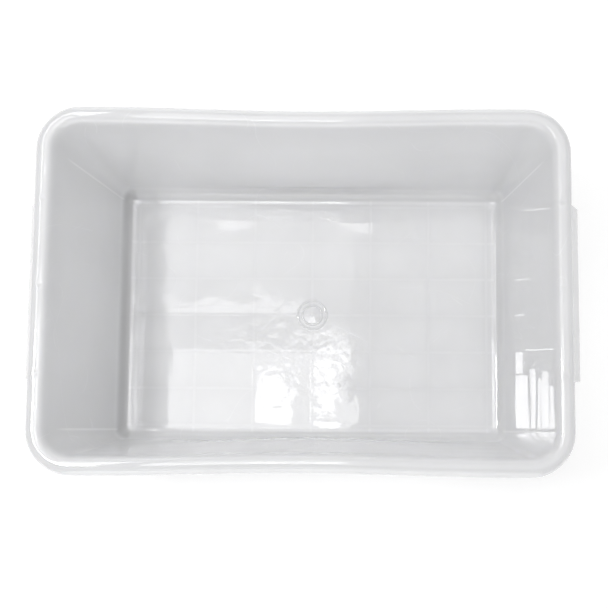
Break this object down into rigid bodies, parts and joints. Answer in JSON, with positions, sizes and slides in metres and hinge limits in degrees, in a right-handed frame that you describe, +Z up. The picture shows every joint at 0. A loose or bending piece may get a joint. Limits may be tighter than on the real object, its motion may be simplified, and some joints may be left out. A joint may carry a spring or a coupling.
{
  "type": "developing tray",
  "caption": "Deep rectangular darkroom tray in milky plastic, with drafted walls, a rolled rim, end grips and a ribbed underside.",
  "frame": {"origin": "centre of the foot, on the surface that the tray stands on", "axes": "+Z up, +X along the length from the left grip to the right grip, +Y across to the back"},
  "size_m": [0.4614, 0.303, 0.118],
  "materials": {
    "tub_plastic": "natural polypropylene, about 2 mm thick, milky and translucent, glossy with flow marks and fine scratches",
    "rim_plastic": "the same natural polypropylene, doubled back on itself at the rim, so it looks a little whiter"
  },
  "bodies": {
    "root": {"floor_panel": "tub_plastic", "gate_boss": "tub_plastic", "cross_ribs": "tub_plastic", "long_ribs": "tub_plastic", "foot_front": "tub_plastic", "foot_back": "tub_plastic", "foot_left": "tub_plastic", "foot_right": "tub_plastic", "foot_corners": "tub_plastic", "heel_front": "tub_plastic", "heel_back": "tub_plastic", "heel_left": "tub_plastic", "heel_right": "tub_plastic", "heel_corners": "tub_plastic", "wall_front": "tub_plastic", "wall_back": "tub_plastic", "wall_left": "tub_plastic", "wall_right": "tub_plastic", "wall_corners": "tub_plastic", "rim_front": "rim_plastic", "rim_back": "rim_plastic", "rim_left": "rim_plastic", "rim_right": "rim_plastic", "rim_corners": "rim_plastic", "skirt_front": "rim_plastic", "skirt_back": "rim_plastic", "skirt_left": "rim_plastic", "skirt_right": "rim_plastic", "skirt_corners": "rim_plastic", "grip_left": "rim_plastic", "grip_right": "rim_plastic", "gussets_left": "rim_plastic", "gussets_right": "rim_plastic"}
  },
  "joints": []
}
